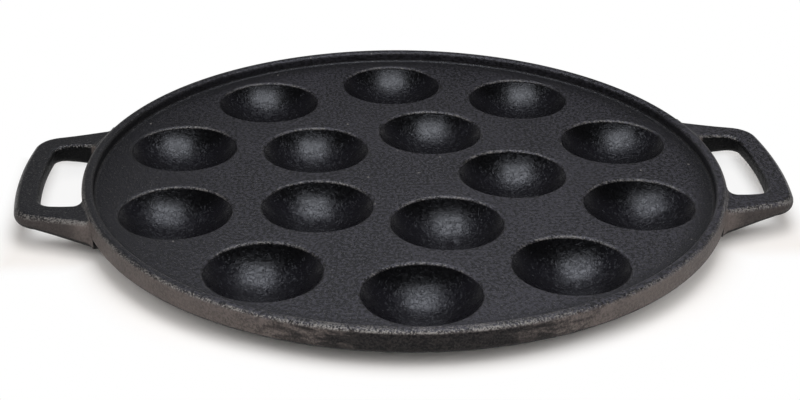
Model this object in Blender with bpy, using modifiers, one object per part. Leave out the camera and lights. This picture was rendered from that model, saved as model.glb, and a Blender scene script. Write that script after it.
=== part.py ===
"""Round cast iron stovetop pan with two rings of shallow round wells and two loop handles.

The whole pan is one casting: a flat deck with a raised rim, a thin-walled bowl under every
well, and a flat-topped loop handle at each side. It stands on the flat feet of its bowls.
Metres, +Z up. The origin is on the surface that the pan stands on, under the pan's centre.
The handles lie along X.
"""

import math

import bmesh
import bpy
from mathutils import Vector

# Wells and bowls
INNER_WELLS = 5
WELL_RADIUS = 0.026
WELL_DEPTH = 0.013
WELL_LIP_RADIUS = 0.0025
INNER_WELL_GAP = 0.0086
RING_GAP = 0.0122
BOWL_WALL = 0.004
BOWL_FOOT_RADIUS = 0.008
BOWL_ROOT_CHAMFER = 0.002

# Deck and rim
PLATE_THICKNESS = 0.005
RIM_GAP = 0.0078
RIM_WIDTH = 0.0055
RIM_HEIGHT = 0.0053
DECK_CORNER_RADIUS = 0.0015
CREST_INNER_RADIUS = 0.002
CREST_OUTER_RADIUS = 0.0022
RIM_UNDERSIDE_RADIUS = 0.002

# Handles
HANDLE_REACH = 0.0299
HANDLE_DROP = 0.002
BAR_WIDTH = 0.0114
BAR_THICKNESS = 0.0076
BAR_BOW_RADIUS = 0.22
ARM_ROOT_HALF_SPAN = 0.0508
ARM_LEAN = math.radians(15.6)
ARM_DEEPENING = 0.19
OUTER_CORNER_RADIUS = 0.013
WINDOW_HALF_SPAN = 0.032
WINDOW_CORNER_RADIUS = 0.008
ROOT_FILLET_RADIUS = 0.0045
ROOT_RISE = 0.0012
HANDLE_EDGE_RADIUS = 0.0018
RIB_LENGTH = 0.020

# A fillet takes at most this share of the wall that it rounds
FILLET_SHARE = 0.45

# Fineness of the round forms
PAN_SEGMENTS = 80
WELL_SEGMENTS = 24
BOWL_SEGMENTS = 20
FILLET_STEPS = 2
ROOT_STEPS = 3
CORNER_STEPS = 6
BOW_STEPS = 3
HOLLOW_STEPS = 5
BOWL_STEPS = 3
MERGE_DISTANCE = 0.00001
FLAT_ANGLE = math.radians(0.2)

# Sizes that follow from those above. Heights below are measured from the feet.
WELL_SPHERE_RADIUS = (WELL_RADIUS ** 2 + WELL_DEPTH ** 2) / (2 * WELL_DEPTH)
BOWL_SPHERE_RADIUS = WELL_SPHERE_RADIUS + BOWL_WALL
SPHERE_ABOVE_DECK = WELL_SPHERE_RADIUS - WELL_DEPTH
SPHERE_Z = math.sqrt(BOWL_SPHERE_RADIUS ** 2 - BOWL_FOOT_RADIUS ** 2)
DECK_Z = SPHERE_Z - SPHERE_ABOVE_DECK
UNDERSIDE_Z = DECK_Z - PLATE_THICKNESS
CREST_Z = DECK_Z + RIM_HEIGHT
MID_PLATE_Z = (DECK_Z + UNDERSIDE_Z) / 2

OUTER_WELLS = 2 * INNER_WELLS
WELL_STEP = math.pi / INNER_WELLS
INNER_RING_RADIUS = (WELL_RADIUS + INNER_WELL_GAP / 2) / math.sin(WELL_STEP)
RING_SPACING = 2 * WELL_RADIUS + RING_GAP
RING_OFFSET = INNER_RING_RADIUS * math.sin(WELL_STEP / 2)
OUTER_RING_RADIUS = (INNER_RING_RADIUS * math.cos(WELL_STEP / 2)
                     + math.sqrt(RING_SPACING ** 2 - RING_OFFSET ** 2))
RIM_INNER_RADIUS = OUTER_RING_RADIUS + WELL_RADIUS + RIM_GAP
RIM_OUTER_RADIUS = RIM_INNER_RADIUS + RIM_WIDTH

HANDLE_TOP_Z = CREST_Z - HANDLE_DROP
BAR_OUTER_X = RIM_OUTER_RADIUS + HANDLE_REACH
BAR_INNER_X = BAR_OUTER_X - BAR_WIDTH
BOW_CENTRE = Vector((BAR_OUTER_X - BAR_BOW_RADIUS, 0))


def clear_scene():
    for obj in list(bpy.data.objects):
        bpy.data.objects.remove(obj, do_unlink=True)


def new_collection(name, parent):
    collection = bpy.data.collections.new(name)
    parent.children.link(collection)
    return collection


def iron_material():
    material = bpy.data.materials.new("seasoned_cast_iron")
    material.use_nodes = True
    shader = material.node_tree.nodes["Principled BSDF"]
    shader.inputs["Base Color"].default_value = (0.042, 0.042, 0.048, 1)
    shader.inputs["Roughness"].default_value = 0.55
    shader.inputs["Metallic"].default_value = 0.25
    return material


def arc(centre, start, end, steps):
    """Points along the shorter arc from start to end about centre, both ends included."""
    centre = Vector(centre)
    first = Vector(start) - centre
    last = Vector(end) - centre
    turn = math.atan2(first.x * last.y - first.y * last.x, first.dot(last))
    points = []
    for step in range(steps + 1):
        angle = turn * step / steps
        spoke = Vector((first.x * math.cos(angle) - first.y * math.sin(angle),
                        first.x * math.sin(angle) + first.y * math.cos(angle)))
        points.append(centre + spoke)
    return points


def turned_object(name, profile, segments, collection):
    """A solid turned about its own Z axis from an (r, z) profile that runs down its outer side."""
    mesh = bpy.data.meshes.new(name)
    points = [(r, 0, z) for r, z in profile]
    edges = [(i, i + 1) for i in range(len(points) - 1)]
    mesh.from_pydata(points, edges, [])
    obj = bpy.data.objects.new(name, mesh)
    collection.objects.link(obj)
    screw = obj.modifiers.new("turn", 'SCREW')
    screw.axis = 'Z'
    screw.steps = segments
    screw.render_steps = segments
    screw.use_merge_vertices = True
    screw.merge_threshold = MERGE_DISTANCE
    screw.use_smooth_shade = True
    return obj


def set_as_cutter(obj):
    obj.hide_render = True
    obj.display_type = 'WIRE'


def well_centres():
    """Centres of the inner ring, with one well on +X, then of the outer ring between them."""
    centres = []
    for k in range(INNER_WELLS):
        angle = 2 * WELL_STEP * k
        centres.append(INNER_RING_RADIUS * Vector((math.cos(angle), math.sin(angle))))
    for k in range(OUTER_WELLS):
        angle = WELL_STEP * (k + 0.5)
        centres.append(OUTER_RING_RADIUS * Vector((math.cos(angle), math.sin(angle))))
    return centres


def copies_at_wells(first, collection):
    for number, centre in enumerate(well_centres()):
        copy = first
        if number > 0:
            copy = first.copy()
            copy.name = f"{first.name}_{number + 1}"
            collection.objects.link(copy)
        copy.location = (centre.x, centre.y, 0)
        set_as_cutter(copy)


def limited(radius, wall):
    """A fillet's radius, held to its share of the wall."""
    return min(radius, wall * FILLET_SHARE)


def rounded_profile(corners, steps):
    """Points along a line through (r, z, radius) corners, with the corners between its ends rounded."""
    points = [Vector(corners[0][:2])]
    for before, corner, after in zip(corners, corners[1:], corners[2:]):
        place = Vector(corner[:2])
        radius = corner[2]
        back = (Vector(before[:2]) - place).normalized()
        ahead = (Vector(after[:2]) - place).normalized()
        half_angle = back.angle(ahead) / 2
        reach = radius / math.tan(half_angle)
        centre = place + (back + ahead).normalized() * radius / math.sin(half_angle)
        points += arc(centre, place + back * reach, place + ahead * reach, steps)
    points.append(Vector(corners[-1][:2]))
    return points


def plate_profile():
    """Deck, rim and underside, from the axis on top to the axis below."""
    return rounded_profile([
        (0, DECK_Z, 0),
        (RIM_INNER_RADIUS, DECK_Z, limited(DECK_CORNER_RADIUS, RIM_HEIGHT)),
        (RIM_INNER_RADIUS, CREST_Z, limited(CREST_INNER_RADIUS, min(RIM_WIDTH, RIM_HEIGHT))),
        (RIM_OUTER_RADIUS, CREST_Z, limited(CREST_OUTER_RADIUS, RIM_WIDTH)),
        (RIM_OUTER_RADIUS, UNDERSIDE_Z, limited(RIM_UNDERSIDE_RADIUS, PLATE_THICKNESS)),
        (0, UNDERSIDE_Z, 0),
    ], FILLET_STEPS)


def bowl_profile():
    """Outside of one bowl, from inside the plate down to its flat foot."""
    chamfer_z = UNDERSIDE_Z - BOWL_ROOT_CHAMFER
    chamfer_r = math.sqrt(BOWL_SPHERE_RADIUS ** 2 - (SPHERE_Z - chamfer_z) ** 2)
    plate_r = chamfer_r + BOWL_ROOT_CHAMFER + MID_PLATE_Z - UNDERSIDE_Z
    side = arc((0, SPHERE_Z), (chamfer_r, chamfer_z), (BOWL_FOOT_RADIUS, 0), BOWL_STEPS)
    return [(0, MID_PLATE_Z), (plate_r, MID_PLATE_Z)] + side + [(0, 0)]


def well_profile():
    """Hollow of one well with its rounded lip, from above the rim down to the well's bottom."""
    above = CREST_Z + RIM_HEIGHT
    lip_z = DECK_Z - WELL_LIP_RADIUS
    reach = WELL_SPHERE_RADIUS + WELL_LIP_RADIUS
    lip_r = math.sqrt(reach ** 2 - (SPHERE_Z - lip_z) ** 2)
    share = WELL_SPHERE_RADIUS / reach
    meet = (lip_r * share, SPHERE_Z + (lip_z - SPHERE_Z) * share)
    lip = arc((lip_r, lip_z), (lip_r, DECK_Z), meet, FILLET_STEPS)
    hollow = arc((0, SPHERE_Z), meet, (0, DECK_Z - WELL_DEPTH), HOLLOW_STEPS)
    return [(0, above), (lip_r, above)] + lip + hollow[1:]


def fillet_centre(line_point, direction, side, circle_centre, distance, radius):
    """Centre of a fillet that touches a line on one side and stands off a circle's centre."""
    offset = line_point + side * radius - circle_centre
    along = offset.dot(direction)
    height = offset.length_squared - along ** 2
    travel = math.sqrt(distance ** 2 - height) - along
    return line_point + side * radius + direction * travel


def half_outlines():
    """Matching points of the handle's outer outline and its window, from the rim to mid bar."""
    rim_centre = Vector((0, 0))
    window_width = BAR_INNER_X - RIM_OUTER_RADIUS
    root_radius = limited(ROOT_FILLET_RADIUS, window_width)
    window_radius = limited(WINDOW_CORNER_RADIUS, window_width)

    outer_along = Vector((math.cos(ARM_LEAN), -math.sin(ARM_LEAN)))
    outer_side = Vector((math.sin(ARM_LEAN), math.cos(ARM_LEAN)))
    root_x = math.sqrt(RIM_OUTER_RADIUS ** 2 - ARM_ROOT_HALF_SPAN ** 2)
    outer_start = Vector((root_x, ARM_ROOT_HALF_SPAN))
    outer_root = fillet_centre(outer_start, outer_along, outer_side, rim_centre,
                               RIM_OUTER_RADIUS + root_radius, root_radius)
    outer_corner = fillet_centre(outer_start, outer_along, -outer_side, BOW_CENTRE,
                                 BAR_BOW_RADIUS - OUTER_CORNER_RADIUS, OUTER_CORNER_RADIUS)

    inner_along = Vector((1, 0))
    inner_side = Vector((0, -1))
    inner_start = Vector((RIM_OUTER_RADIUS, WINDOW_HALF_SPAN))
    inner_bow = BAR_BOW_RADIUS - BAR_WIDTH
    inner_root = fillet_centre(inner_start, inner_along, inner_side, rim_centre,
                               RIM_OUTER_RADIUS + root_radius, root_radius)
    inner_corner = fillet_centre(inner_start, inner_along, inner_side, BOW_CENTRE,
                                 inner_bow - window_radius, window_radius)

    outer = arm_and_bar(outer_root, root_radius, outer_side, outer_corner,
                        OUTER_CORNER_RADIUS, -outer_side, BAR_BOW_RADIUS)
    inner = arm_and_bar(inner_root, root_radius, inner_side, inner_corner,
                        window_radius, inner_side, inner_bow)
    return outer, inner


def arm_and_bar(root, root_radius, root_side, corner, corner_radius, corner_side, bow_radius):
    """One side of the arm: root fillet off the rim, straight run, corner, then half the bar."""
    on_rim = root - root.normalized() * root_radius
    root_arc = arc(root, on_rim, root - root_side * root_radius, ROOT_STEPS)
    on_bar = corner + (corner - BOW_CENTRE).normalized() * corner_radius
    corner_arc = arc(corner, corner - corner_side * corner_radius, on_bar, CORNER_STEPS)
    mid_bar = BOW_CENTRE + Vector((bow_radius, 0))
    bar = arc(BOW_CENTRE, on_bar, mid_bar, BOW_STEPS)
    middle = (root_arc[-1] + corner_arc[0]) / 2
    return root_arc + [middle] + corner_arc + bar[1:]


def handle_top_z(station):
    """The arms are flat on top and climb part of the crest over their root fillets."""
    return HANDLE_TOP_Z + ROOT_RISE * max(0, 1 - station / ROOT_STEPS) ** 2


def handle_bottom_z(x):
    """The arms deepen from the bar towards the pan."""
    return HANDLE_TOP_Z - BAR_THICKNESS - max(0, BAR_INNER_X - x) * ARM_DEEPENING


def section(outer, inner, top_z, outer_bottom_z, inner_bottom_z):
    """Rounded section of the handle between matching points of its two outlines."""
    across = inner - outer
    width = across.length
    across.normalize()
    depth = min(top_z - outer_bottom_z, top_z - inner_bottom_z)
    radius = limited(HANDLE_EDGE_RADIUS, min(width, depth))
    corners = [
        (radius, top_z - radius, math.pi),
        (width - radius, top_z - radius, math.pi / 2),
        (width - radius, inner_bottom_z + radius, 0),
        (radius, outer_bottom_z + radius, -math.pi / 2),
    ]
    points = []
    for u, z, start in corners:
        for step in range(FILLET_STEPS + 1):
            angle = start - step * math.pi / 2 / FILLET_STEPS
            place = outer + across * (u + radius * math.cos(angle))
            points.append(Vector((place.x, place.y, z + radius * math.sin(angle))))
    return points


def rib_stations(outer_root, inner_root):
    """The rib that each arm sends under the plate, and the sections that are buried in the rim."""
    buried_top = (MID_PLATE_Z + DECK_Z) / 2
    buried_bottom = (MID_PLATE_Z + UNDERSIDE_Z) / 2
    rib_radius = RIM_OUTER_RADIUS - RIB_LENGTH
    rim_radius = (RIM_INNER_RADIUS + RIM_OUTER_RADIUS) / 2
    within_rim = (RIM_OUTER_RADIUS + rim_radius) / 2

    stations = []
    for radius, top_z in [(rib_radius, buried_top), (rim_radius, buried_top),
                          (within_rim, handle_top_z(0))]:
        outer = outer_root.normalized() * radius
        inner = inner_root.normalized() * radius
        bottoms = [handle_bottom_z(outer.x), handle_bottom_z(inner.x)]
        if radius == rib_radius:
            bottoms = [buried_bottom, buried_bottom]
        stations.append((outer, inner, top_z, *bottoms))
    return stations


def handle_mesh():
    """Loop handle at +X: sections lofted over its far half, then mirrored across the XZ plane."""
    outer, inner = half_outlines()
    stations = rib_stations(outer[0], inner[0])
    for number, (a, b) in enumerate(zip(outer, inner)):
        stations.append((a, b, handle_top_z(number), handle_bottom_z(a.x), handle_bottom_z(b.x)))

    bm = bmesh.new()
    rings = [[bm.verts.new(p) for p in section(*station)] for station in stations]
    bm.faces.new(rings[0])
    for ring, following in zip(rings, rings[1:]):
        for i in range(len(ring)):
            j = (i + 1) % len(ring)
            bm.faces.new((ring[j], ring[i], following[i], following[j]))
    bmesh.ops.recalc_face_normals(bm, faces=bm.faces)
    mesh = bpy.data.meshes.new("handle_loop")
    bm.to_mesh(mesh)
    bm.free()
    mesh.shade_smooth()
    return mesh


def add_handles(collection):
    """Both loops as one object, the half loop mirrored across its own middle and to the far side."""
    obj = bpy.data.objects.new("handle_loops", handle_mesh())
    collection.objects.link(obj)
    mirror = obj.modifiers.new("both_sides", 'MIRROR')
    mirror.use_axis = (True, True, False)
    mirror.use_mirror_merge = True
    mirror.merge_threshold = MERGE_DISTANCE
    set_as_cutter(obj)
    return obj


def join_or_cut(target, name, operation, operand):
    boolean = target.modifiers.new(name, 'BOOLEAN')
    boolean.operation = operation
    boolean.solver = 'EXACT'
    if isinstance(operand, bpy.types.Collection):
        boolean.operand_type = 'COLLECTION'
        boolean.collection = operand
    else:
        boolean.object = operand


def merge_flat_faces(obj, name):
    """The turned deck and underside are fans of triangles, which become single faces."""
    planar = obj.modifiers.new(name, 'DECIMATE')
    planar.decimate_type = 'DISSOLVE'
    planar.angle_limit = FLAT_ANGLE


def even_out_shading(obj):
    """The wide flat faces set the normals, so that only the fillets and the hollows look round."""
    shading = obj.modifiers.new("even_shading", 'WEIGHTED_NORMAL')
    shading.mode = 'FACE_AREA'


def build():
    clear_scene()
    scene_root = bpy.context.scene.collection
    pan = new_collection("poffertjes_pan", scene_root)
    cutters = new_collection("cutters", scene_root)
    bowls = new_collection("bowls", cutters)
    wells = new_collection("wells", cutters)

    casting = turned_object("pan_casting", plate_profile(), PAN_SEGMENTS, pan)
    casting.data.materials.append(iron_material())
    merge_flat_faces(casting, "one_face_deck")

    bowl = turned_object("bowl", bowl_profile(), BOWL_SEGMENTS, bowls)
    copies_at_wells(bowl, bowls)
    well = turned_object("well", well_profile(), WELL_SEGMENTS, wells)
    copies_at_wells(well, wells)
    handles = add_handles(cutters)

    join_or_cut(casting, "add_bowls", 'UNION', bowls)
    join_or_cut(casting, "add_handles", 'UNION', handles)
    join_or_cut(casting, "cut_wells", 'DIFFERENCE', wells)
    even_out_shading(casting)


build()
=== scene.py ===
"""Fine model, finish, light and camera for a cast iron pan with fifteen shallow wells.

The pan is modelled with Blender's own operators in the place and at the size of the packed
casting, and then gets its seasoned skin. Metres, +Z up. The pan stands on the floor with its
centre over the origin and its handles along X.
"""

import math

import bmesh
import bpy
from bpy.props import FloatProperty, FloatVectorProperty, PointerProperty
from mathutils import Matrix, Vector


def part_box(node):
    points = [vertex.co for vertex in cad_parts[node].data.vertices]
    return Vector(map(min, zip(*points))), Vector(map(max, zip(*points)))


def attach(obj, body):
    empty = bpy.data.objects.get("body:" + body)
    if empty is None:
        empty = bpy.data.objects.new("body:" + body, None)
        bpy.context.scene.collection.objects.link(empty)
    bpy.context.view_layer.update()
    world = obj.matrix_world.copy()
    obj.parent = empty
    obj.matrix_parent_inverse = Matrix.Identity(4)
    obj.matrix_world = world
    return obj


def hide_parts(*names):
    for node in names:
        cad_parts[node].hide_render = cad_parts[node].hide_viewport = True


bl_info = {
    "name": "Poffertjes Pan",
    "version": (1, 0, 0),
    "blender": (4, 5, 0),
    "location": "View3D > Sidebar > Pan",
    "description": "Models and finishes a cast iron poffertjes pan around its packed frame",
    "category": "Add Mesh",
}

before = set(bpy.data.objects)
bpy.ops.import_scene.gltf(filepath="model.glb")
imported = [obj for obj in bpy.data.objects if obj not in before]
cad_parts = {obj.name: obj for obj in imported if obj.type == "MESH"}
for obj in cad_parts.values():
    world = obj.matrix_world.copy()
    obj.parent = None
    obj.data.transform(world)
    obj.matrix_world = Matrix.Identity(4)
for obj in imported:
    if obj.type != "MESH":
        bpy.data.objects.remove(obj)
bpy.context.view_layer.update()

CASTING_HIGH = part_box("pan_casting")[1]
PAN_NAME = "seasoned_pan"

# Fineness of the round forms
RIM_SEGMENTS = 320
WELL_SEGMENTS = 96
BOWL_SEGMENTS = 64
BALL_RINGS = 56
FILLET_STEPS = 6
WALL_CUTS = 2
ROOT_STEPS = 8
CORNER_STEPS = 12
BOW_STEPS = 10
ARM_STEPS = 3
EDGE_STEPS = 6

# How far a fillet runs into what it leads to, so that the two join cleanly
SINK = 0.00002

# Lengths that differ by less than this count as equal
CLOSE = 0.00001

# Vertices that lie closer than this are merged
MERGE = CLOSE / 10

# Edges that turn by more than this stay sharp
SHARP_ANGLE = math.radians(48)

# Most of a handle section's smaller side that one rounding may take
LARGEST_ROUNDING = 0.48


def length(name, default, description):
    return FloatProperty(name=name, default=default, description=description, unit='LENGTH',
                         precision=4, min=0)


def colour(name, default, description):
    return FloatVectorProperty(name=name, default=default, description=description,
                               subtype='COLOR', size=3, min=0, max=1)


def share(name, default, description):
    return FloatProperty(name=name, default=default, description=description,
                         subtype='FACTOR', min=0, max=1)


class PanSizes(bpy.types.PropertyGroup):
    """Sizes of the casting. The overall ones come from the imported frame."""

    rim_radius: length("Rim radius", CASTING_HIGH.y, "Centre to the outer wall")
    crest_height: length("Crest height", CASTING_HIGH.z, "Floor to the top of the rim")
    handle_tip: length("Handle tip", CASTING_HIGH.x, "Centre to the outside of a handle's bar")

    rim_width: length("Rim width", 0.0055, "Thickness of the raised rim")
    rim_height: length("Rim height", 0.0053, "Height of the rim over the deck")
    plate_thickness: length("Plate thickness", 0.005, "Deck to underside")
    deck_corner_radius: length("Deck corner radius", 0.0015, "Fillet where the deck meets the rim")
    crest_inner_radius: length("Crest inner radius", 0.002, "Rounding of the rim's inner edge")
    crest_outer_radius: length("Crest outer radius", 0.0026, "Rounding of the rim's outer edge")
    underside_radius: length("Underside radius", 0.002, "Rounding under the outer wall")

    well_radius: length("Well radius", 0.026, "Half the width of a well at the deck")
    well_depth: length("Well depth", 0.013, "Deck to the bottom of a well")
    lip_radius: length("Lip radius", 0.0025, "Rounding of a well's lip")
    inner_gap: length("Inner gap", 0.0086, "Deck left between two wells of the inner ring")
    rim_gap: length("Rim gap", 0.0078, "Deck left between the outer wells and the rim")
    bowl_wall: length("Bowl wall", 0.004, "Iron under a well")
    bowl_root_radius: length("Bowl root radius", 0.002, "Fillet between bowl and underside")

    handle_drop: length("Handle drop", 0.002, "Crest down to the top of a handle")
    bar_width: length("Bar width", 0.0114, "Width of a handle's bar")
    bar_thickness: length("Bar thickness", 0.0076, "Height of a handle's bar")
    bow_radius: length("Bow radius", 0.22, "Curve of the bar's outer side")
    arm_half_span: length("Arm half span", 0.0508, "Centre line to an arm's outside at the rim")
    arm_lean: FloatProperty(name="Arm lean", default=math.radians(15.6), subtype='ANGLE',
                            description="Angle at which the arms close towards the bar")
    arm_deepening: share("Arm deepening", 0.19, "Slope of an arm's lower side")
    outer_corner_radius: length("Outer corner radius", 0.013, "Outside corner of arm and bar")
    window_half_span: length("Window half span", 0.032, "Half the length of the finger window")
    window_corner_radius: length("Window corner radius", 0.008, "Corner of the finger window")
    root_radius: length("Root radius", 0.0045, "Fillet between arm and rim")
    root_rise: length("Root rise", 0.0012, "How far an arm climbs the crest at its root")
    handle_outer_radius: length("Handle outer radius", 0.0036, "Rounding of the outside of a handle")
    handle_inner_radius: length("Handle inner radius", 0.0024, "Rounding of the window's edges")
    rib_length: length("Rib length", 0.02, "How far an arm runs on under the plate")

    @property
    def deck(self):
        return self.crest_height - self.rim_height

    @property
    def underside(self):
        return self.deck - self.plate_thickness

    @property
    def mid_plate(self):
        return (self.deck + self.underside) / 2

    @property
    def rim_inside(self):
        return self.rim_radius - self.rim_width

    @property
    def well_ball(self):
        """Radius of the ball that a well is hollowed with."""
        return (self.well_radius ** 2 + self.well_depth ** 2) / (2 * self.well_depth)

    @property
    def ball_height(self):
        return self.deck - self.well_depth + self.well_ball

    @property
    def handle_top(self):
        return self.crest_height - self.handle_drop

    @property
    def bow_centre(self):
        return Vector((self.handle_tip - self.bow_radius, 0))

    @property
    def bar_inside(self):
        return self.handle_tip - self.bar_width


class PanFinish(bpy.types.PropertyGroup):
    """Colours and roughness of the seasoned iron."""

    deck_colour: colour("Deck", (0.0178, 0.0172, 0.0218), "Seasoned deck and handle tops")
    well_colour: colour("Wells", (0.0042, 0.0040, 0.0060), "Oiled hollows")
    brown_colour: colour("Ground iron", (0.098, 0.082, 0.076), "Ground sides, browned by use")
    # Also the colour of painted highlight on the near crest and edges and of painted sparkle on the
    # deck
    worn_and_highlight_colour: colour("Worn grain", (0.21, 0.20, 0.19), "Rubbed tops of the casting's grain")
    # Also the colour of the painted shade inside the rim and on the near middle of the outer wall
    soot_and_shade_colour: colour("Soot", (0.0022, 0.0021, 0.0025), "Dark seasoning on sides and underside")
    deck_roughness: share("Deck roughness", 0.58, "Roughness of the deck")
    edge_roughness: share("Edge roughness", 0.38, "Roughness of the rubbed edges")
    well_roughness: share("Well roughness", 0.28, "Roughness of the wells")
    iron_specular: share("Specular", 0.17, "Specular level of the seasoning")


class PanStudio(bpy.types.PropertyGroup):
    """Camera and lights."""

    camera_place: FloatVectorProperty(name="Camera", default=(-0.046350, -0.662331, 0.337664),
                                      subtype='TRANSLATION', description="Camera position")
    camera_aim: FloatVectorProperty(name="Aim", default=(-0.003850, -0.026570, 0.01611),
                                    subtype='TRANSLATION', description="Centre of the view")
    camera_roll: FloatProperty(name="Roll", default=math.radians(0.7065), subtype='ANGLE',
                               description="Turn of the camera about its view")
    camera_lens: FloatProperty(name="Lens", default=69.965, min=1, description="Focal length in mm")
    gloss_light: FloatProperty(name="Gloss light", default=4.3, min=0, unit='POWER',
                               description="Softbox close over the pan, seen in its gloss")
    left_light: FloatProperty(name="Left light", default=5.8, min=0, unit='POWER',
                              description="Softbox at the front left")
    right_light: FloatProperty(name="Right light", default=6.6, min=0, unit='POWER',
                               description="Softbox at the front right")
    top_light: FloatProperty(name="Top light", default=5.2, min=0, unit='POWER',
                             description="Softbox high over the near side")
    fill: share("Fill", 0.06, "Brightness of the room on matt surfaces")


# Tools for modelling


def pick(*objects):
    """Selects these objects and nothing else. The first one becomes active."""
    bpy.ops.object.select_all(action='DESELECT')
    for obj in objects:
        obj.select_set(True)
    bpy.context.view_layer.objects.active = objects[0]


def newest(name):
    """Names the primitive that was just added and puts its place into its mesh."""
    obj = bpy.context.object
    obj.name = name
    obj.data.name = name
    pick(obj)
    bpy.ops.object.transform_apply(location=True, rotation=True, scale=True)
    return obj


def edit(obj):
    pick(obj)
    bpy.ops.object.mode_set(mode='EDIT')


def leave_edit():
    bpy.ops.object.mode_set(mode='OBJECT')


def select_parts(obj, kind, test):
    """In edit mode, selects the vertices, edges or faces that pass a test."""
    bpy.ops.mesh.select_mode(type=kind)
    bpy.ops.mesh.select_all(action='DESELECT')
    bm = bmesh.from_edit_mesh(obj.data)
    parts = {'VERT': bm.verts, 'EDGE': bm.edges, 'FACE': bm.faces}[kind]
    chosen = [part for part in parts if test(part)]
    if not chosen:
        raise RuntimeError(f"nothing to select on {obj.name}")
    for part in chosen:
        part.select_set(True)
    bm.select_flush_mode()
    bmesh.update_edit_mesh(obj.data)


def round_selected(radius, steps):
    bpy.ops.mesh.bevel(offset=radius, offset_type='OFFSET', segments=steps, affect='EDGES')


def is_rising(edge):
    return abs(edge.verts[0].co.z - edge.verts[1].co.z) > CLOSE


def on_ring(radius, height):
    """A test for the edges of a level ring about the pan's axis."""
    def test(edge):
        return all(abs(vert.co.xy.length - radius) < CLOSE and abs(vert.co.z - height) < CLOSE
                   for vert in edge.verts)
    return test


def combine(target, tool, operation):
    """Joins a tool to the target or cuts it out, and removes the tool."""
    pick(target)
    bpy.ops.object.modifier_add(type='BOOLEAN')
    boolean = target.modifiers[-1]
    boolean.operation = operation
    boolean.solver = 'EXACT'
    boolean.object = tool
    bpy.ops.object.modifier_apply(modifier=boolean.name)
    bpy.data.objects.remove(tool, do_unlink=True)


def mirror(obj, axis):
    """Completes a half across one axis."""
    pick(obj)
    bpy.ops.object.modifier_add(type='MIRROR')
    both = obj.modifiers[-1]
    both.use_axis = [axis == name for name in 'XYZ']
    both.merge_threshold = CLOSE
    bpy.ops.object.modifier_apply(modifier=both.name)


def turn_outwards(obj):
    """Merges doubled vertices, then points every face outwards."""
    edit(obj)
    bpy.ops.mesh.select_all(action='SELECT')
    bpy.ops.mesh.remove_doubles(threshold=MERGE)
    bpy.ops.mesh.normals_make_consistent(inside=False)
    leave_edit()


def pan_object():
    pan = bpy.data.objects.get(PAN_NAME)
    if pan is None:
        raise RuntimeError("model the plate first")
    return pan


def arc(centre, start, end, steps):
    """Points along the shorter arc from start to end about centre, both ends included."""
    centre = Vector(centre)
    first = Vector(start) - centre
    last = Vector(end) - centre
    turn = math.atan2(first.x * last.y - first.y * last.x, first.dot(last))
    points = []
    for step in range(steps + 1):
        angle = turn * step / steps
        spoke = Vector((first.x * math.cos(angle) - first.y * math.sin(angle),
                        first.x * math.sin(angle) + first.y * math.cos(angle)))
        points.append(centre + spoke)
    return points


# Plate and rim


class PAN_OT_plate(bpy.types.Operator):
    """Turn the deck, the raised rim and the outer wall from one disc"""

    bl_idname = "pan.plate"
    bl_label = "Plate and Rim"

    def execute(self, context):
        sizes = context.scene.pan_sizes
        height = sizes.crest_height - sizes.underside
        bpy.ops.object.select_all(action='DESELECT')
        bpy.ops.mesh.primitive_cylinder_add(vertices=RIM_SEGMENTS, radius=sizes.rim_radius,
                                            depth=height,
                                            location=(0, 0, sizes.underside + height / 2))
        plate = newest(PAN_NAME)
        edit(plate)
        select_parts(plate, 'EDGE', is_rising)
        bpy.ops.mesh.subdivide(number_cuts=WALL_CUTS)
        select_parts(plate, 'FACE', lambda face: face.normal.z > 0.5)
        bpy.ops.mesh.inset(thickness=sizes.rim_width)
        down = (0, 0, -sizes.rim_height)
        bpy.ops.mesh.extrude_region_move(TRANSFORM_OT_translate={"value": down})
        for radius, level, fillet in [
            (sizes.rim_radius, sizes.crest_height, sizes.crest_outer_radius),
            (sizes.rim_inside, sizes.crest_height, sizes.crest_inner_radius),
            (sizes.rim_inside, sizes.deck, sizes.deck_corner_radius),
            (sizes.rim_radius, sizes.underside, sizes.underside_radius),
        ]:
            select_parts(plate, 'EDGE', on_ring(radius, level))
            round_selected(fillet, FILLET_STEPS)
        leave_edit()
        return {'FINISHED'}


# Bowls and wells


def well_centres(sizes):
    """Centres of the five inner wells, with one on +X, then of the ten outer ones."""
    inner = 5
    step = math.pi / inner
    inner_ring = (sizes.well_radius + sizes.inner_gap / 2) / math.sin(step)
    outer_ring = sizes.rim_inside - sizes.rim_gap - sizes.well_radius
    rings = [(inner_ring, 2 * step * k) for k in range(inner)]
    rings += [(outer_ring, step * (k + 0.5)) for k in range(2 * inner)]
    return [radius * Vector((math.cos(angle), math.sin(angle))) for radius, angle in rings]


def drawn_ball(name, radius, height, segments, rings):
    """A ball cut off at the first of the (radius, height) rings, drawn up along them and closed."""
    bpy.ops.object.select_all(action='DESELECT')
    bpy.ops.mesh.primitive_uv_sphere_add(segments=segments, ring_count=BALL_RINGS, radius=radius,
                                         location=(0, 0, height))
    ball = newest(name)
    edit(ball)
    bpy.ops.mesh.select_all(action='SELECT')
    bpy.ops.mesh.bisect(plane_co=(0, 0, rings[0][1]), plane_no=(0, 0, 1), clear_outer=True,
                        threshold=MERGE)
    select_parts(ball, 'EDGE', lambda edge: edge.is_boundary)
    for (start, low), (end, high) in zip(rings, rings[1:]):
        bpy.ops.mesh.extrude_region_move(TRANSFORM_OT_translate={"value": (0, 0, high - low)})
        widening = end / start
        bpy.ops.transform.resize(value=(widening, widening, 1), center_override=(0, 0, high))
    bpy.ops.mesh.edge_face_add()
    leave_edit()
    return ball


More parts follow.
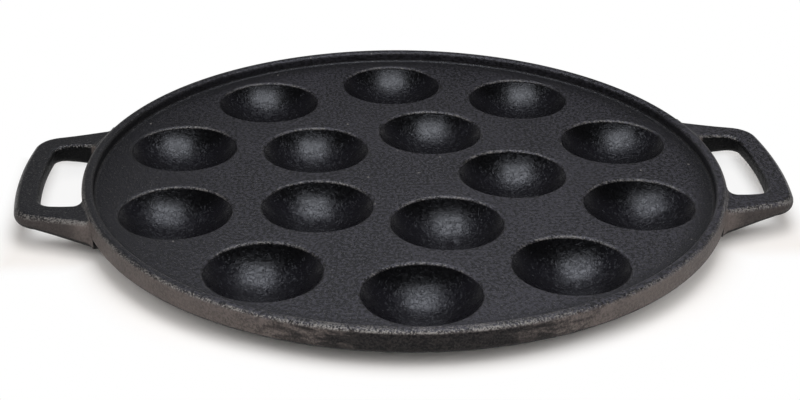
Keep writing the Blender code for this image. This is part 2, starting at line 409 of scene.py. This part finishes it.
def fillet_rings(ball_radius, ball_height, fillet, level):
    """Arc that leads from a ball, below its middle, out into a level plane and just past it."""
    level += SINK
    reach = ball_radius + fillet
    centre_height = level - fillet
    centre_radius = math.sqrt(reach ** 2 - (ball_height - centre_height) ** 2)
    on_ball = (centre_radius * ball_radius / reach,
               ball_height + (centre_height - ball_height) * ball_radius / reach)
    return arc((centre_radius, centre_height), on_ball, (centre_radius, level), FILLET_STEPS)


def copies_at_wells(form, sizes):
    """One object with a copy of the form at every well."""
    copies = []
    for centre in well_centres(sizes):
        copy = form.copy()
        copy.data = form.data.copy()
        copy.data.transform(Matrix.Translation((centre.x, centre.y, 0)))
        bpy.context.collection.objects.link(copy)
        copies.append(copy)
    bpy.data.objects.remove(form, do_unlink=True)
    pick(*copies)
    bpy.ops.object.join()
    return bpy.context.object


class PAN_OT_bowls(bpy.types.Operator):
    """Add the thin-walled bowls and their flat feet under the plate"""

    bl_idname = "pan.bowls"
    bl_label = "Bowls"

    def execute(self, context):
        sizes = context.scene.pan_sizes
        radius = sizes.well_ball + sizes.bowl_wall
        rings = fillet_rings(radius, sizes.ball_height, sizes.bowl_root_radius, sizes.underside)
        rings.append(Vector((rings[-1].x, sizes.mid_plate)))
        bowl = drawn_ball("bowl", radius, sizes.ball_height, BOWL_SEGMENTS, rings)
        edit(bowl)
        bpy.ops.mesh.select_all(action='SELECT')
        bpy.ops.mesh.bisect(plane_co=(0, 0, 0), plane_no=(0, 0, -1), use_fill=True, clear_outer=True,
                            threshold=MERGE)
        leave_edit()
        combine(pan_object(), copies_at_wells(bowl, sizes), 'UNION')
        return {'FINISHED'}


class PAN_OT_wells(bpy.types.Operator):
    """Hollow out the fifteen wells with their rounded lips"""

    bl_idname = "pan.wells"
    bl_label = "Wells"

    def execute(self, context):
        sizes = context.scene.pan_sizes
        rings = fillet_rings(sizes.well_ball, sizes.ball_height, sizes.lip_radius, sizes.deck)
        rings.append(Vector((rings[-1].x, sizes.crest_height + sizes.rim_height)))
        hollow = drawn_ball("hollow", sizes.well_ball, sizes.ball_height, WELL_SEGMENTS, rings)
        combine(pan_object(), copies_at_wells(hollow, sizes), 'DIFFERENCE')
        return {'FINISHED'}


# Handles


def fillet_centre(line_point, direction, side, circle_centre, distance, radius):
    """Centre of a fillet that touches a line on one side and stands off a circle's centre."""
    offset = line_point + side * radius - circle_centre
    along = offset.dot(direction)
    height = offset.length_squared - along ** 2
    travel = math.sqrt(distance ** 2 - height) - along
    return line_point + side * radius + direction * travel


def side_outline(sizes, start, along, side, corner_side, corner_radius, bow):
    """One side of an arm: root fillet off the rim, straight run, corner, then half the bar."""
    rim_centre = Vector((0, 0))
    centre = sizes.bow_centre
    root = fillet_centre(start, along, side, rim_centre,
                         sizes.rim_radius + sizes.root_radius - SINK, sizes.root_radius)
    corner = fillet_centre(start, along, corner_side, centre, bow - corner_radius, corner_radius)
    on_rim = root - root.normalized() * sizes.root_radius
    on_bar = corner + (corner - centre).normalized() * corner_radius
    root_arc = arc(root, on_rim, root - side * sizes.root_radius, ROOT_STEPS)
    corner_arc = arc(corner, corner - corner_side * corner_radius, on_bar, CORNER_STEPS)
    run = [root_arc[-1].lerp(corner_arc[0], step / ARM_STEPS) for step in range(1, ARM_STEPS)]
    bar = arc(centre, on_bar, centre + Vector((bow, 0)), BOW_STEPS)
    return root_arc + run + corner_arc + bar[1:]


def handle_outlines(sizes):
    """Matching points of the handle's outer side and its window, from the rim to mid bar."""
    lean = sizes.arm_lean
    along = Vector((math.cos(lean), -math.sin(lean)))
    side = Vector((math.sin(lean), math.cos(lean)))
    half_span = sizes.arm_half_span
    start = Vector((math.sqrt(sizes.rim_radius ** 2 - half_span ** 2), half_span))
    outer = side_outline(sizes, start, along, side, -side,
                         sizes.outer_corner_radius, sizes.bow_radius)
    inwards = Vector((0, -1))
    start = Vector((sizes.rim_radius, sizes.window_half_span))
    inner = side_outline(sizes, start, Vector((1, 0)), inwards, inwards,
                         sizes.window_corner_radius, sizes.bow_radius - sizes.bar_width)
    return outer, inner


def handle_stations(sizes):
    """Outer point, inner point and top height of each station, from the rib's end to mid bar."""
    outer, inner = handle_outlines(sizes)
    buried = (sizes.mid_plate + sizes.deck) / 2
    root_top = sizes.handle_top + sizes.root_rise
    stations = []
    for radius, top in [(sizes.rim_radius - sizes.rib_length, buried),
                        (sizes.rim_radius - sizes.rim_width / 2, buried),
                        (sizes.rim_radius - sizes.rim_width / 4, root_top)]:
        stations.append((outer[0].normalized() * radius, inner[0].normalized() * radius, top))
    for number, (a, b) in enumerate(zip(outer, inner)):
        climb = max(0, 1 - number / ROOT_STEPS) ** 2
        stations.append((a, b, sizes.handle_top + sizes.root_rise * climb))
    return stations


def lower_side(sizes, point):
    """Height of a handle's lower side: deeper towards the pan, and buried at the rib's end."""
    if point.length < sizes.rim_radius - sizes.rib_length + CLOSE:
        return (sizes.mid_plate + sizes.underside) / 2
    deepening = max(0, sizes.bar_inside - point.x) * sizes.arm_deepening
    return sizes.handle_top - sizes.bar_thickness - deepening


def section(sizes, outer, inner, top):
    """Rounded section across one station, from its outer side over the top and back below."""
    across = inner - outer
    width = across.length
    across.normalize()
    low_outer = lower_side(sizes, outer)
    low_inner = lower_side(sizes, inner)
    limit = LARGEST_ROUNDING * min(width, top - max(low_outer, low_inner))
    rounded = min(sizes.handle_outer_radius, limit)
    eased = min(sizes.handle_inner_radius, limit)
    points = []
    for along, height, start, radius in [(rounded, top - rounded, math.pi, rounded),
                                         (width - eased, top - eased, math.pi / 2, eased),
                                         (width - eased, low_inner + eased, 0, eased),
                                         (rounded, low_outer + rounded, -math.pi / 2, rounded)]:
        for step in range(EDGE_STEPS + 1):
            angle = start - step * math.pi / 2 / EDGE_STEPS
            place = outer + across * (along + radius * math.cos(angle))
            points.append((place.x, place.y, height + radius * math.sin(angle)))
    return points


def lay_along(tube, sections):
    """Lays an upright tube of height 1 along the sections, one level of the tube on each."""
    around = len(sections[0])
    for vertex in tube.data.vertices:
        level = round((vertex.co.z + 0.5) * (len(sections) - 1))
        corner = round(math.atan2(vertex.co.y, vertex.co.x) * around / math.tau) % around
        vertex.co = sections[level][corner]


class PAN_OT_handles(bpy.types.Operator):
    """Add both loop handles, with arms that deepen towards the pan"""

    bl_idname = "pan.handles"
    bl_label = "Handles"

    def execute(self, context):
        sizes = context.scene.pan_sizes
        sections = [section(sizes, *station) for station in handle_stations(sizes)]
        bpy.ops.object.select_all(action='DESELECT')
        bpy.ops.mesh.primitive_cylinder_add(vertices=len(sections[0]), radius=1, depth=1)
        loop = newest("handle_loops")
        edit(loop)
        select_parts(loop, 'EDGE', is_rising)
        bpy.ops.mesh.subdivide(number_cuts=len(sections) - 2)
        leave_edit()
        lay_along(loop, sections)
        edit(loop)
        select_parts(loop, 'FACE', lambda face: all(abs(v.co.y) < CLOSE for v in face.verts))
        bpy.ops.mesh.delete(type='FACE')
        leave_edit()
        mirror(loop, 'Y')
        mirror(loop, 'X')
        turn_outwards(loop)
        combine(pan_object(), loop, 'UNION')
        return {'FINISHED'}


# Finish

# Iron in the deep shade of wells and windows
BLACK = (0.0004, 0.0004, 0.0006)

# Fineness of the skin's noises, in cells per metre
CLOUDS = 22
BLOTCHES = 75
CURLS = 430
SAND = 620
GRIT = 1000
GRAIN = 1250
NICKS = (90, 55, 55)
STREAKS = (120, 120, 420)

# Depth of the cast grain, and the shares of it that the curled strokes in the wells have
GRAIN_DEPTH = 0.0004
STROKE_SHARE = 0.17
FAR_STROKE_SHARE = 0.07

# The darkest and lightest sand on the deck, as shares of the deck's colour
DARK_SAND = 0.26
LIGHT_SAND = 1.8

# How strong a finish or a painted shade or highlight is where it is full
LEFT_PAINTED_SHADE = 0.95
FAR_SIDE_SHADE = 0.95
HANDLE_BROWN = 0.4
INNER_WALL_SHADE = 0.7
DECK_WEAR_AND_SPARKLE = 0.3
SIDE_WEAR_AND_SPARKLE = 0.05
RIM_WEAR_AND_HIGHLIGHT = 0.8
NEAR_EDGE_HIGHLIGHT = 0.5
NICK_WEAR = 0.6

# How strong the wear and painted highlight are on the crest beside its outer edge, and at the ends
# of the rim beside its middle
CREST_MIDDLE_HIGHLIGHT = 0.6
CREST_LIP_HIGHLIGHT = 0.5
LEFT_HIGHLIGHT = 0.3
RIGHT_HIGHLIGHT = 0.55

# Where a finish or a painted shade or highlight starts to change and where it has changed, along X
# or Y or away from the middle
LEFT_SHADED = (-0.05, -0.16)
LEFT_HIGHLIGHT_FADE = (-0.165, -0.10)
RIGHT_HIGHLIGHT_FADE = (0.02, 0.08)
NEAR_CREST = (-0.03, -0.12)
CREST_MIDDLE = (0.075, 0.03)
SHADE_NEAR = (-0.10, -0.135)
SHADE_MIDDLE = (0.08, 0.03)

# The same for how far a face looks back: -1 faces the near side
FAR_SIDE_FACING = (-0.3, -0.6)
NEAR_EDGE_FACING = (-0.2, -0.5)

# The same for how far a face looks up: 1 is level, 0 upright and -1 the underside. Two of them
# bound a finish from both sides.
WELL_SLOPE = (0.0, 0.15)
INNER_WALL_SLOPE = (0.8, 0.4)
UNDER_SLOPE = (-0.15, -0.5)
SIDE_SLOPES = ((0.85, 0.35), (-0.6, -0.2))
LIP_SLOPES = ((0.12, 0.45), (0.995, 0.9))
RUBBED_SLOPES = ((0.4, 0.7), (0.97, 0.87))
NEAR_EDGE_SLOPES = ((0.3, 0.6), (0.98, 0.9))


class Nodes:
    """Builds up a node tree. Apart from add, which returns the node, each call returns a socket."""

    def __init__(self, tree):
        self.tree = tree

    def add(self, kind, inputs=None, **settings):
        """A node with its settings, and with values or links on its inputs."""
        node = self.tree.nodes.new(kind)
        for name, value in settings.items():
            setattr(node, name, value)
        for socket, value in (inputs or {}).items():
            if isinstance(value, bpy.types.NodeSocket):
                self.tree.links.new(value, node.inputs[socket])
            else:
                node.inputs[socket].default_value = value
        return node

    def maths(self, operation, first, second=0.0, clamp=False):
        node = self.add('ShaderNodeMath', {0: first, 1: second}, operation=operation,
                        use_clamp=clamp)
        return node.outputs[0]

    def product(self, first, *others):
        for other in others:
            first = self.maths('MULTIPLY', first, other)
        return first

    def largest(self, first, *others):
        for other in others:
            first = self.maths('MAXIMUM', first, other)
        return first

    def away(self, value, centre=0.0):
        """How far a value lies from a centre, to either side."""
        return self.maths('ABSOLUTE', self.maths('SUBTRACT', value, centre))

    def rest(self, mask):
        """What a mask leaves over."""
        return self.maths('SUBTRACT', 1.0, mask)

    def fade(self, value, start, end, low=0.0, high=1.0):
        """Smooth change from low to high as the value goes from start to end."""
        node = self.add('ShaderNodeMapRange',
                        {'Value': value, 'From Min': start, 'From Max': end, 'To Min': low,
                         'To Max': high}, interpolation_type='SMOOTHSTEP')
        return node.outputs['Result']

    def band(self, value, first, second):
        """1 where two fades, each given as its start and end, are both full."""
        return self.product(self.fade(value, *first), self.fade(value, *second))

    def blend(self, factor, first, second):
        """Mixes two colours, the node's inputs 6 and 7."""
        inputs = {0: factor}
        for socket, value in [(6, first), (7, second)]:
            linked = isinstance(value, bpy.types.NodeSocket)
            inputs[socket] = value if linked else (*value, 1)
        return self.add('ShaderNodeMix', inputs, data_type='RGBA').outputs[2]

    def between(self, factor, first, second):
        """Mixes two numbers, the node's inputs 2 and 3."""
        return self.add('ShaderNodeMix', {0: factor, 2: first, 3: second}).outputs[0]

    def noise(self, place, scale, detail, roughness, distortion=0.0):
        node = self.add('ShaderNodeTexNoise', {'Vector': place, 'Scale': scale, 'Detail': detail,
                                               'Roughness': roughness, 'Distortion': distortion})
        return node.outputs['Fac']


class Skin(Nodes):
    """The casting's own coordinates, its noises and the masks of its finishes."""

    def __init__(self, tree, sizes):
        super().__init__(tree)
        coordinates = self.add('ShaderNodeTexCoord').outputs
        self.place = coordinates['Object']
        parts = self.add('ShaderNodeSeparateXYZ', {'Vector': self.place}).outputs
        self.x = parts['X']
        self.y = parts['Y']
        self.height = parts['Z']
        flat = self.add('ShaderNodeCombineXYZ', {'X': self.x, 'Y': self.y}).outputs[0]
        across = self.add('ShaderNodeVectorMath', {0: flat}, operation='LENGTH')
        self.radius = across.outputs['Value']

        facing = self.add('ShaderNodeSeparateXYZ', {'Vector': coordinates['Normal']}).outputs
        self.up = facing['Z']
        self.back = facing['Y']
        along = self.add('ShaderNodeVectorMath', {0: coordinates['Normal'], 1: flat},
                         operation='DOT_PRODUCT')
        self.outwards = self.maths('DIVIDE', along.outputs['Value'], self.radius)

        self.blotches = self.noise(self.place, BLOTCHES, 3.0, 0.6)
        self.sand = self.noise(self.place, SAND, 1.0, 0.5)
        self.grit = self.noise(self.place, GRIT, 2.0, 0.6)
        self.grain = self.noise(self.place, GRAIN, 2.0, 0.6)

        self.mark_wells(sizes)
        self.mark_walls(sizes)
        self.mark_edges(sizes)

    def stretched(self, scale):
        """The place with each axis at its own scale."""
        return self.add('ShaderNodeMapping', {'Vector': self.place, 'Scale': scale}).outputs[0]

    def mark_wells(self, sizes):
        """The hollows, what lies outside them, and their far walls in the shade of the lip."""
        inside = self.fade(self.radius, sizes.rim_inside + 0.0005, sizes.rim_inside - 0.0015)
        below_deck = self.fade(self.height, sizes.deck - 0.0006, sizes.deck - 0.0012)
        self.well = self.product(self.fade(self.up, *WELL_SLOPE), inside, below_deck)
        self.not_well = self.rest(self.well)
        self.far_side = self.product(self.well, self.fade(self.back, *FAR_SIDE_FACING))

    def mark_walls(self, sizes):
        """Where shade is painted: inside rim and windows, and the deck's border at the rim.

        Also the outer sides and the underside.
        """
        inside = sizes.rim_inside
        outside = sizes.rim_radius
        self.inner_wall = self.product(self.fade(self.up, *INNER_WALL_SLOPE),
                                       self.fade(self.outwards, 0.2, -0.1),
                                       self.fade(self.radius, inside - 0.003, inside))
        self.window = self.product(self.inner_wall,
                                   self.fade(self.radius, outside + 0.001, outside + 0.003))
        # Painted shade goes on the deck's border at the rim
        self.corner = self.product(self.fade(self.radius, inside - 0.014, inside),
                                   self.fade(self.height, sizes.deck + 0.002, sizes.deck + 0.0008))
        handles = self.fade(self.radius, outside + 0.002, outside + 0.01, 1.0, HANDLE_BROWN)
        self.side = self.product(self.band(self.up, *SIDE_SLOPES),
                                 self.fade(self.outwards, 0.1, 0.4),
                                 self.fade(self.radius, inside + 0.001, inside + 0.003), handles)
        self.under = self.fade(self.up, *UNDER_SLOPE)

    def mark_edges(self, sizes):
        """Rounded lips, the rim and the other edges that face the near side.

        Wear and painted highlight go on the rim and on those edges.
        """
        self.lip = self.product(self.band(self.up, *LIP_SLOPES), self.not_well)
        raised = self.fade(self.height, sizes.deck + 0.001, sizes.deck + 0.003)
        outer_edge = self.product(self.band(self.up, *RUBBED_SLOPES),
                                  self.fade(self.outwards, 0.0, 0.3), raised)
        # Painted highlight along the near crest, strongest in its middle and at its lip
        near_crest = self.product(self.fade(self.height, sizes.crest_height - 0.0012,
                                            sizes.crest_height - 0.0002),
                                  self.fade(self.y, *NEAR_CREST))
        crest_middle = self.product(near_crest, self.fade(self.away(self.x), *CREST_MIDDLE),
                                    CREST_MIDDLE_HIGHLIGHT)
        crest_lip = self.product(near_crest, self.lip, CREST_LIP_HIGHLIGHT)
        self.rim = self.product(self.largest(outer_edge, crest_middle, crest_lip),
                                self.fade(self.x, *LEFT_HIGHLIGHT_FADE, LEFT_HIGHLIGHT, 1.0),
                                self.fade(self.x, *RIGHT_HIGHLIGHT_FADE, 1.0, RIGHT_HIGHLIGHT))
        off_rim = self.fade(self.away(self.radius, sizes.rim_inside), 0.004, 0.009)
        # Painted highlight, in worn grain, on the edges that face the near side
        self.near_edge_highlight = self.product(self.fade(self.back, *NEAR_EDGE_FACING),
                                    self.band(self.up, *NEAR_EDGE_SLOPES), off_rim, self.not_well)


def seasoned_colour(skin, finish):
    """Sandy deck and nearly black wells.

    Painted shade darkens the deck at the rim and towards the left, and the wells' far walls.
    """
    dark = tuple(DARK_SAND * part for part in finish.deck_colour)
    light = tuple(LIGHT_SAND * part for part in finish.deck_colour)
    cloudy = skin.noise(skin.place, CLOUDS, 3.0, 0.6)
    tone = skin.maths('ADD', cloudy, skin.fade(skin.sand, 0.38, 0.62, -0.45, 0.45))
    colour = skin.blend(skin.fade(tone, 0.1, 0.9), dark, light)
    # Painted shade: the deck darkens at the rim and towards the left
    painted_shade = skin.largest(skin.corner, skin.fade(skin.x, *LEFT_SHADED, 0.0, LEFT_PAINTED_SHADE))
    colour = skin.blend(painted_shade, colour, dark)
    colour = skin.blend(skin.well, colour, finish.well_colour)
    # Painted shade: the wells' far walls go nearly black under the lip
    return skin.blend(skin.product(skin.far_side, FAR_SIDE_SHADE), colour, BLACK)


def front_painted_shade(skin):
    """Painted shade in streaks on the near middle of the outer wall."""
    near = skin.fade(skin.y, *SHADE_NEAR)
    streaks = skin.noise(skin.stretched(STREAKS), 1.0, 3.0, 0.6)
    ragged = skin.maths('ADD', skin.fade(streaks, 0.35, 0.65, -0.014, 0.014),
                        skin.fade(skin.grit, 0.35, 0.65, -0.008, 0.008))
    middle = skin.fade(skin.maths('ADD', skin.away(skin.x), ragged), *SHADE_MIDDLE)
    return skin.product(near, middle, skin.fade(skin.grit, 0.38, 0.58, 0.82, 1.0))


def add_walls(skin, finish, colour):
    """Brown ground sides and a darker underside.

    Painted shade darkens the sides' near middle, the inside of the rim and the window walls.
    """
    browned = skin.maths('ADD', skin.blotches, skin.fade(skin.grit, 0.35, 0.65, -0.2, 0.2))
    browned = skin.product(skin.side, skin.fade(browned, 0.0, 0.8, 0.5, 1.0))
    colour = skin.blend(browned, colour, finish.brown_colour)
    # Painted shade in streaks on the near middle of the outer wall
    colour = skin.blend(skin.product(skin.side, front_painted_shade(skin)), colour, finish.soot_and_shade_colour)
    # A darker underside, and painted shade inside rim and windows
    soot_and_shade = skin.largest(skin.under, skin.product(skin.inner_wall, INNER_WALL_SHADE))
    colour = skin.blend(soot_and_shade, colour, finish.soot_and_shade_colour)
    # Painted shade: the window walls black
    return skin.blend(skin.window, colour, BLACK)


def add_wear(skin, finish, colour):
    """Light worn grain and a few nicks.

    On the deck the grain is partly painted sparkle; on the rim it is partly and on the edges that
    face the near side wholly painted highlight.
    """
    fine = skin.fade(skin.grain, 0.56, 0.74)
    coarse = skin.fade(skin.maths('ADD', skin.grain, skin.product(skin.blotches, 0.5)), 0.66, 0.92)
    # Light specks on level faces: worn grain, partly painted sparkle
    by_slope = skin.fade(skin.up, 0.2, 0.7, SIDE_WEAR_AND_SPARKLE, DECK_WEAR_AND_SPARKLE)
    spots = skin.add('ShaderNodeTexVoronoi', {'Vector': skin.stretched(NICKS), 'Scale': 1.0})
    nicks = skin.fade(spots.outputs['Distance'], 0.06, 0.03)
    for wear in [
        skin.product(fine, by_slope, skin.not_well),
        skin.product(coarse, skin.rim, RIM_WEAR_AND_HIGHLIGHT),
        skin.product(coarse, skin.near_edge_highlight, NEAR_EDGE_HIGHLIGHT),
        skin.product(nicks, NICK_WEAR, skin.fade(skin.up, 0.3, 0.6), skin.not_well),
    ]:
        colour = skin.blend(wear, colour, finish.worn_and_highlight_colour)
    return colour


def skin_roughness(skin, finish):
    """Matt deck, smoother lips and smooth wells, all uneven with the sand."""
    rough = skin.between(skin.lip, finish.deck_roughness, finish.edge_roughness)
    rough = skin.between(skin.well, rough, finish.well_roughness)
    return skin.maths('ADD', rough, skin.fade(skin.sand, 0.25, 0.75, -0.07, 0.07))


def skin_relief(skin):
    """Cast grain, and in the wells curled strokes, fainter on their far walls."""
    curls = skin.noise(skin.place, CURLS, 1.0, 0.5, 1.2)
    strokes = skin.fade(skin.away(curls, 0.5), 0.0, 0.09)
    strength = skin.fade(skin.far_side, 0.65, 1.0, STROKE_SHARE, FAR_STROKE_SHARE)
    relief = skin.between(skin.well, skin.grain, skin.product(strokes, strength))
    bump = skin.add('ShaderNodeBump', {'Height': relief, 'Strength': 1.0, 'Distance': GRAIN_DEPTH})
    return bump.outputs['Normal']


def iron_material(sizes, finish):
    """Seasoned cast iron: sandy deck, oiled wells, brown sides and soot.

    Edges carry wear and painted highlight, and several places carry painted shade.
    """
    material = bpy.data.materials.new("seasoned_cast_iron")
    material.use_nodes = True
    tree = material.node_tree
    skin = Skin(tree, sizes)
    colour = add_wear(skin, finish, add_walls(skin, finish, seasoned_colour(skin, finish)))
    shader = tree.nodes["Principled BSDF"]
    tree.links.new(colour, shader.inputs['Base Color'])
    tree.links.new(skin_roughness(skin, finish), shader.inputs['Roughness'])
    tree.links.new(skin_relief(skin), shader.inputs['Normal'])
    shader.inputs['Specular IOR Level'].default_value = finish.iron_specular
    return material


class PAN_OT_finish(bpy.types.Operator):
    """Smooth the casting, give it its seasoned skin and seat it on the frame"""

    bl_idname = "pan.finish"
    bl_label = "Cast Skin"

    def execute(self, context):
        scene = context.scene
        pan = pan_object()
        turn_outwards(pan)
        pick(pan)
        bpy.ops.object.shade_smooth_by_angle(angle=SHARP_ANGLE)
        bpy.ops.object.modifier_add(type='WEIGHTED_NORMAL')
        even = pan.modifiers[-1]
        even.mode = 'FACE_AREA'
        even.keep_sharp = True
        bpy.ops.object.modifier_apply(modifier=even.name)
        pan.data.materials.clear()
        pan.data.materials.append(iron_material(scene.pan_sizes, scene.pan_finish))
        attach(pan, "root")
        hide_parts("pan_casting")
        return {'FINISHED'}


# Stage

WHITE = (1, 1, 1)
FILL_COLOUR = (1.0, 0.86, 0.74)
GLOSS_COLOUR = (0.87, 0.905, 1.0)
FLOOR_COLOUR = (0.95, 0.92, 0.895)
FLOOR_SIZE = 8

# Brightness of the studio in the pan's gloss at the horizon and overhead, and the heights of the
# direction between which it falls
HORIZON_GLOSS = 1.0
OVERHEAD_GLOSS = 0.12
GLOSS_FALL = (0.0, 0.35)

# Where the paper starts to turn into background and where it has turned, from the outline of the
# rim and of the handles outwards. Inside the outline this is painted light over the pan's shadow
RIM_OPENING = (-0.014, 0.007)
HANDLE_OPENING = (-0.004, 0.012)

# How much further out that is at the left and right of the rim, and from where to where it grows
FURTHER_AT_SIDES = 0.010
SIDES = (0.06, 0.13)

# How much painted light the paper gets under the finger windows, and where that starts and ends
# along Y
WINDOW_PAINTED_LIGHT = 0.85
WINDOW_NEAR = (-0.036, -0.014)
WINDOW_FAR = (0.066, 0.046)

# Places and sizes of the softboxes
GLOSS_PLACE = (0.0, 0.065, 0.53)
GLOSS_AIM = (0.0, 0.065, 0.0)
GLOSS_SIZE = (0.34, 0.34)
LEFT_PLACE = (-0.50, -0.83, 0.705)
RIGHT_PLACE = (0.50, -0.83, 0.705)
SIDE_SIZE = (0.75, 0.60)
TOP_PLACE = (0.0, -0.39, 0.92)
TOP_SIZE = (0.55, 0.80)


def background_rays(nodes):
    """1 for rays that see the background: from the camera, mirrored or through glass."""
    path = nodes.add('ShaderNodeLightPath').outputs
    seen = nodes.maths('ADD', path['Is Camera Ray'], path['Is Glossy Ray'])
    return nodes.maths('ADD', seen, path['Is Transmission Ray'], clamp=True)


def background_and_painted_light(nodes, sizes):
    """How far the paper has turned into background: not at all under the pan, wholly beyond it.

    The change begins a little inside the outline of rim and handles, where it is painted light over
    the pan's shadow, and ends outside it, where the shadow has run out. Under the finger windows the
    paper gets painted light too.
    """
    place = nodes.add('ShaderNodeTexCoord').outputs['Object']
    parts = nodes.add('ShaderNodeSeparateXYZ', {'Vector': place}).outputs
    across = nodes.away(parts['X'])
    depth = parts['Y']
    radius = nodes.add('ShaderNodeVectorMath', {0: place}, operation='LENGTH').outputs['Value']
    off_rim = nodes.maths('SUBTRACT', radius, sizes.rim_radius)
    off_rim = nodes.maths('SUBTRACT', off_rim, nodes.fade(across, *SIDES, 0.0, FURTHER_AT_SIDES))
    off_handle = nodes.largest(nodes.maths('SUBTRACT', across, sizes.handle_tip),
                               nodes.maths('SUBTRACT', nodes.away(depth), sizes.arm_half_span))
    # Inside the outline this is painted light over the pan's shadow
    outside = nodes.maths('MINIMUM', nodes.fade(off_rim, *RIM_OPENING),
                          nodes.fade(off_handle, *HANDLE_OPENING))
    past_rim = (sizes.rim_radius - 0.010, sizes.rim_radius + 0.004)
    before_bar = (sizes.bar_inside + 0.012, sizes.bar_inside - 0.002)
    # Painted light on the paper under the finger windows
    window = nodes.product(nodes.band(across, past_rim, before_bar),
                           nodes.band(depth, WINDOW_NEAR, WINDOW_FAR), WINDOW_PAINTED_LIGHT)
    return nodes.largest(outside, window)


def floor_material(sizes):
    """White paper that keeps the pan's shadow and runs out into the white background.

    Painted light lifts the shadow near the outline and lights the paper under the finger windows.
    """
    material = bpy.data.materials.new("white_paper")
    material.use_nodes = True
    material.node_tree.nodes.clear()
    nodes = Nodes(material.node_tree)
    paper = nodes.add('ShaderNodeBsdfDiffuse', {'Color': (*FLOOR_COLOUR, 1)}).outputs[0]
    white = nodes.add('ShaderNodeEmission', {'Color': (*WHITE, 1), 'Strength': 1.0}).outputs[0]
    bare = nodes.product(background_and_painted_light(nodes, sizes), background_rays(nodes))
    mixed = nodes.add('ShaderNodeMixShader', {0: bare, 1: paper, 2: white}).outputs[0]
    nodes.add('ShaderNodeOutputMaterial', {'Surface': mixed})
    return material


def studio_world(fill):
    """White for the camera, dim overhead in reflections, with a low warm fill on matt surfaces."""
    world = bpy.data.worlds.new("studio")
    world.use_nodes = True
    world.node_tree.nodes.clear()
    nodes = Nodes(world.node_tree)
    direction = nodes.add('ShaderNodeTexCoord').outputs['Generated']
    height = nodes.add('ShaderNodeSeparateXYZ', {'Vector': direction}).outputs['Z']
    gloss = nodes.fade(height, *GLOSS_FALL, HORIZON_GLOSS, OVERHEAD_GLOSS)
    background = background_rays(nodes)
    camera_ray = nodes.add('ShaderNodeLightPath').outputs['Is Camera Ray']
    strength = nodes.between(background, fill, gloss)
    strength = nodes.between(camera_ray, strength, 1.0)
    tint = nodes.blend(background, FILL_COLOUR, WHITE)
    light = nodes.add('ShaderNodeBackground', {'Color': tint, 'Strength': strength}).outputs[0]
    nodes.add('ShaderNodeOutputWorld', {'Surface': light})
    return world


def aimed(place, aim):
    """Places a lamp or camera at one point and turns it to another."""
    turn = (Vector(aim) - Vector(place)).to_track_quat('-Z', 'Y')
    return Matrix.Translation(place) @ turn.to_matrix().to_4x4()


def softbox(name, place, size, power, aim=(0, 0, 0), tint=WHITE):
    """A rectangular lamp, aimed at the origin unless told otherwise."""
    data = bpy.data.lights.new(name, 'AREA')
    data.shape = 'RECTANGLE'
    data.size, data.size_y = size
    data.energy = power
    data.color = tint
    light = bpy.data.objects.new(name, data)
    light.matrix_world = aimed(place, aim)
    bpy.context.scene.collection.objects.link(light)
    return light


class PAN_OT_stage(bpy.types.Operator):
    """Set the white floor, the soft lights and the camera"""

    bl_idname = "pan.stage"
    bl_label = "Studio"

    def execute(self, context):
        scene = context.scene
        studio = scene.pan_studio
        bpy.ops.object.select_all(action='DESELECT')
        bpy.ops.mesh.primitive_plane_add(size=FLOOR_SIZE)
        floor = newest("floor")
        floor.data.materials.append(floor_material(scene.pan_sizes))
        scene.world = studio_world(studio.fill)

        gloss = softbox("gloss_softbox", GLOSS_PLACE, GLOSS_SIZE, studio.gloss_light,
                        GLOSS_AIM, GLOSS_COLOUR)
        gloss.visible_diffuse = False
        for name, place, size, power in [
            ("left_softbox", LEFT_PLACE, SIDE_SIZE, studio.left_light),
            ("right_softbox", RIGHT_PLACE, SIDE_SIZE, studio.right_light),
            ("top_softbox", TOP_PLACE, TOP_SIZE, studio.top_light),
        ]:
            softbox(name, place, size, power).visible_glossy = False

        camera_data = bpy.data.cameras.new("camera")
        camera_data.lens = studio.camera_lens
        camera = bpy.data.objects.new("camera", camera_data)
        scene.collection.objects.link(camera)
        roll = Matrix.Rotation(studio.camera_roll, 4, 'Z')
        camera.matrix_world = aimed(studio.camera_place, studio.camera_aim) @ roll
        scene.camera = camera
        scene.view_settings.view_transform = 'Standard'
        return {'FINISHED'}


class PAN_PT_panel(bpy.types.Panel):
    """Lists the pan's steps and its sizes and colours"""

    bl_idname = "PAN_PT_panel"
    bl_label = "Poffertjes Pan"
    bl_space_type = 'VIEW_3D'
    bl_region_type = 'UI'
    bl_category = "Pan"

    def draw(self, context):
        layout = self.layout
        for step in STEPS:
            layout.operator(step.bl_idname)
        for group in (context.scene.pan_sizes, context.scene.pan_finish, context.scene.pan_studio):
            box = layout.box()
            for name in group.__annotations__:
                box.prop(group, name)


STEPS = (PAN_OT_plate, PAN_OT_bowls, PAN_OT_handles, PAN_OT_wells, PAN_OT_finish, PAN_OT_stage)
CLASSES = (PanSizes, PanFinish, PanStudio, *STEPS, PAN_PT_panel)


def register():
    for cls in CLASSES:
        bpy.utils.register_class(cls)
    bpy.types.Scene.pan_sizes = PointerProperty(type=PanSizes)
    bpy.types.Scene.pan_finish = PointerProperty(type=PanFinish)
    bpy.types.Scene.pan_studio = PointerProperty(type=PanStudio)


def unregister():
    del bpy.types.Scene.pan_studio
    del bpy.types.Scene.pan_finish
    del bpy.types.Scene.pan_sizes
    for cls in reversed(CLASSES):
        bpy.utils.unregister_class(cls)


def main():
    register()
    bpy.ops.pan.plate()
    bpy.ops.pan.bowls()
    bpy.ops.pan.handles()
    bpy.ops.pan.wells()
    bpy.ops.pan.finish()
    bpy.ops.pan.stage()


if __name__ == "__main__":
    main()
